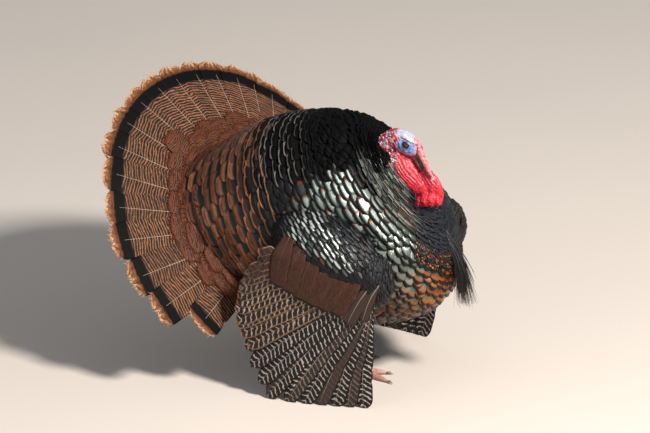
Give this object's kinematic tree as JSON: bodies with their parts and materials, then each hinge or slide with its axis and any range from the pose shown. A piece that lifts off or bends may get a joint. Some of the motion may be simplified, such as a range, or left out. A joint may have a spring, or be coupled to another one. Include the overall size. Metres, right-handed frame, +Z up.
{
  "type": "wild turkey",
  "caption": "Life-size displaying tom wild turkey with fanned tail, dropped wings, bare head with snood and wattle, and a bristle beard, standing still",
  "frame": {"origin": "middle of the footprint's box, on the ground under the bird", "axes": "+X the way the bird faces, +Y its left side, +Z up"},
  "size_m": [0.805, 0.7744, 0.6116],
  "materials": {
    "body_plumage": "glossy dark feathers with copper and bronze edges",
    "neck_plumage": "greyish green iridescent feathers",
    "beard": "coarse black bristles",
    "eye": "wet dark brown",
    "caruncle": "bright red bare skin",
    "head_skin": "bare skin, white crown, pale blue face, red neck",
    "horn": "greyish horn",
    "tail_quills": "chestnut and black bars, black band, buff tip",
    "tail_coverts": "rufous feathers with fine bars",
    "wing_bronze": "metallic bronze green with black edges",
    "wing_copper": "copper brown with a black edge",
    "wing_barred": "brown black with white bars",
    "leg_skin": "scaly pink skin"
  },
  "bodies": {
    "root": {"beard": "beard", "bill_lower": "horn", "bill_upper": "horn", "claw_left_hind": "horn", "claw_left_inner": "horn", "claw_left_middle": "horn", "claw_left_outer": "horn", "claw_right_hind": "horn", "claw_right_inner": "horn", "claw_right_middle": "horn", "claw_right_outer": "horn", "eye_left": "eye", "eye_right": "eye", "foot_left": "leg_skin", "foot_right": "leg_skin", "head": "head_skin", "neck": "neck_plumage", "shank_left": "leg_skin", "shank_right": "leg_skin", "snood": "caruncle", "spur_left": "horn", "spur_right": "horn", "tail_coverts": "tail_coverts", "tail_fan": "tail_quills", "trunk": "body_plumage", "vent": "body_plumage", "wattle": "caruncle", "wing_left_greater_coverts": "wing_copper", "wing_left_primaries": "wing_barred", "wing_left_secondaries": "wing_barred", "wing_left_shoulder": "wing_bronze", "wing_right_greater_coverts": "wing_copper", "wing_right_primaries": "wing_barred", "wing_right_secondaries": "wing_barred", "wing_right_shoulder": "wing_bronze"}
  },
  "joints": []
}
